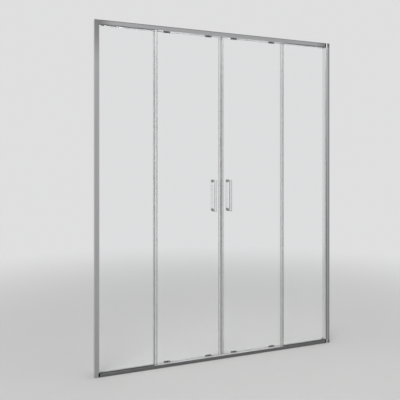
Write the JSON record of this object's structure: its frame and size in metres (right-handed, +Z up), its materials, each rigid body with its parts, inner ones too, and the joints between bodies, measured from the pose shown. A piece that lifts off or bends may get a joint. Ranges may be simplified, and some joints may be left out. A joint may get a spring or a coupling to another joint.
{
  "type": "sliding shower door",
  "caption": "Alcove shower door: slim bright frame with fixed glass panes and centre-opening sliding doors on grooved rollers, with bar handles inside and out.",
  "frame": {"origin": "middle of the bottom rail's underside, where it lies on the tray", "axes": "+X along the width to the right as seen from the room, +Y from the room into the shower, +Z up"},
  "size_m": [1.48, 0.075, 1.9],
  "materials": {
    "steel": "plain stainless steel",
    "anodised": "bright anodised aluminium",
    "plate": "dark moulded plastic",
    "corner_chrome": "chromed",
    "seal": "translucent grey plastic",
    "clear_glass": "clear toughened glass",
    "block": "matt plastic",
    "handle_chrome": "polished chrome",
    "washer": "clear plastic",
    "magnet": "matt bonded magnet",
    "gasket": "matt grey rubber",
    "carrier": "satin moulded plastic",
    "cap": "satin plastic",
    "buffer": "matt rubber",
    "wheel": "satin nylon"
  },
  "bodies": {
    "frame": {"bottom_infill": "anodised", "bottom_rail": "anodised", "corner_blocks_bottom": "corner_chrome", "corner_blocks_top": "corner_chrome", "fixed_edge_strips": "seal", "fixed_glass_left": "clear_glass", "fixed_glass_right": "clear_glass", "frame_screws": "steel", "glazing_blocks": "block", "jamb_left": "anodised", "jamb_right": "anodised", "pane_gaskets": "gasket", "screw_caps": "cap", "stop_buffers": "buffer", "top_infill": "anodised", "top_rail": "anodised", "wall_profile_left": "anodised", "wall_profile_right": "anodised"},
    "left_door": {"axle_pins_left": "steel", "clamp_plates_left": "plate", "clamp_screws_left": "steel", "handle_inner_left": "handle_chrome", "handle_outer_left": "handle_chrome", "handle_studs_left": "steel", "handle_washers_left": "washer", "magnet_strip_left": "magnet", "meeting_profile_left": "seal", "rear_seal_left": "seal", "roller_carriers_left": "carrier", "sliding_glass_left": "clear_glass"},
    "right_door": {"axle_pins_right": "steel", "clamp_plates_right": "plate", "clamp_screws_right": "steel", "handle_inner_right": "handle_chrome", "handle_outer_right": "handle_chrome", "handle_studs_right": "steel", "handle_washers_right": "washer", "magnet_strip_right": "magnet", "meeting_profile_right": "seal", "rear_seal_right": "seal", "roller_carriers_right": "carrier", "sliding_glass_right": "clear_glass"},
    "wheel_left_bottom_1": {"wheel_left_bottom_1": "wheel"},
    "wheel_left_bottom_2": {"wheel_left_bottom_2": "wheel"},
    "wheel_left_bottom_3": {"wheel_left_bottom_3": "wheel"},
    "wheel_left_bottom_4": {"wheel_left_bottom_4": "wheel"},
    "wheel_left_top_1": {"wheel_left_top_1": "wheel"},
    "wheel_left_top_2": {"wheel_left_top_2": "wheel"},
    "wheel_left_top_3": {"wheel_left_top_3": "wheel"},
    "wheel_left_top_4": {"wheel_left_top_4": "wheel"},
    "wheel_right_bottom_1": {"wheel_right_bottom_1": "wheel"},
    "wheel_right_bottom_2": {"wheel_right_bottom_2": "wheel"},
    "wheel_right_bottom_3": {"wheel_right_bottom_3": "wheel"},
    "wheel_right_bottom_4": {"wheel_right_bottom_4": "wheel"},
    "wheel_right_top_1": {"wheel_right_top_1": "wheel"},
    "wheel_right_top_2": {"wheel_right_top_2": "wheel"},
    "wheel_right_top_3": {"wheel_right_top_3": "wheel"},
    "wheel_right_top_4": {"wheel_right_top_4": "wheel"}
  },
  "joints": [
    {"name": "left_door_slide", "type": "slide", "parent": "frame", "child": "left_door", "axis": [-1, 0, 0], "range_m": [0, 0.28]},
    {"name": "right_door_slide", "type": "slide", "parent": "frame", "child": "right_door", "axis": [1, 0, 0], "range_m": [0, 0.28]},
    {"name": "wheel_left_bottom_1_spin", "type": "hinge", "parent": "left_door", "child": "wheel_left_bottom_1", "pos_m": [-0.071, 0.0145, 0.011], "axis": [0, 1, 0], "continuous": true},
    {"name": "wheel_left_bottom_2_spin", "type": "hinge", "parent": "left_door", "child": "wheel_left_bottom_2", "pos_m": [-0.091, 0.0145, 0.011], "axis": [0, 1, 0], "continuous": true},
    {"name": "wheel_left_bottom_3_spin", "type": "hinge", "parent": "left_door", "child": "wheel_left_bottom_3", "pos_m": [-0.323, 0.0145, 0.011], "axis": [0, 1, 0], "continuous": true},
    {"name": "wheel_left_bottom_4_spin", "type": "hinge", "parent": "left_door", "child": "wheel_left_bottom_4", "pos_m": [-0.343, 0.0145, 0.011], "axis": [0, 1, 0], "continuous": true},
    {"name": "wheel_left_top_1_spin", "type": "hinge", "parent": "left_door", "child": "wheel_left_top_1", "pos_m": [-0.071, 0.0145, 1.886], "axis": [0, 1, 0], "continuous": true},
    {"name": "wheel_left_top_2_spin", "type": "hinge", "parent": "left_door", "child": "wheel_left_top_2", "pos_m": [-0.091, 0.0145, 1.886], "axis": [0, 1, 0], "continuous": true},
    {"name": "wheel_left_top_3_spin", "type": "hinge", "parent": "left_door", "child": "wheel_left_top_3", "pos_m": [-0.323, 0.0145, 1.886], "axis": [0, 1, 0], "continuous": true},
    {"name": "wheel_left_top_4_spin", "type": "hinge", "parent": "left_door", "child": "wheel_left_top_4", "pos_m": [-0.343, 0.0145, 1.886], "axis": [0, 1, 0], "continuous": true},
    {"name": "wheel_right_bottom_1_spin", "type": "hinge", "parent": "right_door", "child": "wheel_right_bottom_1", "pos_m": [0.071, 0.0145, 0.011], "axis": [0, 1, 0], "continuous": true},
    {"name": "wheel_right_bottom_2_spin", "type": "hinge", "parent": "right_door", "child": "wheel_right_bottom_2", "pos_m": [0.091, 0.0145, 0.011], "axis": [0, 1, 0], "continuous": true},
    {"name": "wheel_right_bottom_3_spin", "type": "hinge", "parent": "right_door", "child": "wheel_right_bottom_3", "pos_m": [0.323, 0.0145, 0.011], "axis": [0, 1, 0], "continuous": true},
    {"name": "wheel_right_bottom_4_spin", "type": "hinge", "parent": "right_door", "child": "wheel_right_bottom_4", "pos_m": [0.343, 0.0145, 0.011], "axis": [0, 1, 0], "continuous": true},
    {"name": "wheel_right_top_1_spin", "type": "hinge", "parent": "right_door", "child": "wheel_right_top_1", "pos_m": [0.071, 0.0145, 1.886], "axis": [0, 1, 0], "continuous": true},
    {"name": "wheel_right_top_2_spin", "type": "hinge", "parent": "right_door", "child": "wheel_right_top_2", "pos_m": [0.091, 0.0145, 1.886], "axis": [0, 1, 0], "continuous": true},
    {"name": "wheel_right_top_3_spin", "type": "hinge", "parent": "right_door", "child": "wheel_right_top_3", "pos_m": [0.323, 0.0145, 1.886], "axis": [0, 1, 0], "continuous": true},
    {"name": "wheel_right_top_4_spin", "type": "hinge", "parent": "right_door", "child": "wheel_right_top_4", "pos_m": [0.343, 0.0145, 1.886], "axis": [0, 1, 0], "continuous": true}
  ],
  "couplings": [
    {"joint": "wheel_left_bottom_1_spin", "follows": "left_door_slide", "rad_per_m": -142.86},
    {"joint": "wheel_left_bottom_2_spin", "follows": "left_door_slide", "rad_per_m": -142.86},
    {"joint": "wheel_left_bottom_3_spin", "follows": "left_door_slide", "rad_per_m": -142.86},
    {"joint": "wheel_left_bottom_4_spin", "follows": "left_door_slide", "rad_per_m": -142.86},
    {"joint": "wheel_left_top_1_spin", "follows": "left_door_slide", "rad_per_m": -142.86},
    {"joint": "wheel_left_top_2_spin", "follows": "left_door_slide", "rad_per_m": -142.86},
    {"joint": "wheel_left_top_3_spin", "follows": "left_door_slide", "rad_per_m": -142.86},
    {"joint": "wheel_left_top_4_spin", "follows": "left_door_slide", "rad_per_m": -142.86},
    {"joint": "wheel_right_bottom_1_spin", "follows": "right_door_slide", "rad_per_m": 142.86},
    {"joint": "wheel_right_bottom_2_spin", "follows": "right_door_slide", "rad_per_m": 142.86},
    {"joint": "wheel_right_bottom_3_spin", "follows": "right_door_slide", "rad_per_m": 142.86},
    {"joint": "wheel_right_bottom_4_spin", "follows": "right_door_slide", "rad_per_m": 142.86},
    {"joint": "wheel_right_top_1_spin", "follows": "right_door_slide", "rad_per_m": 142.86},
    {"joint": "wheel_right_top_2_spin", "follows": "right_door_slide", "rad_per_m": 142.86},
    {"joint": "wheel_right_top_3_spin", "follows": "right_door_slide", "rad_per_m": 142.86},
    {"joint": "wheel_right_top_4_spin", "follows": "right_door_slide", "rad_per_m": 142.86}
  ]
}
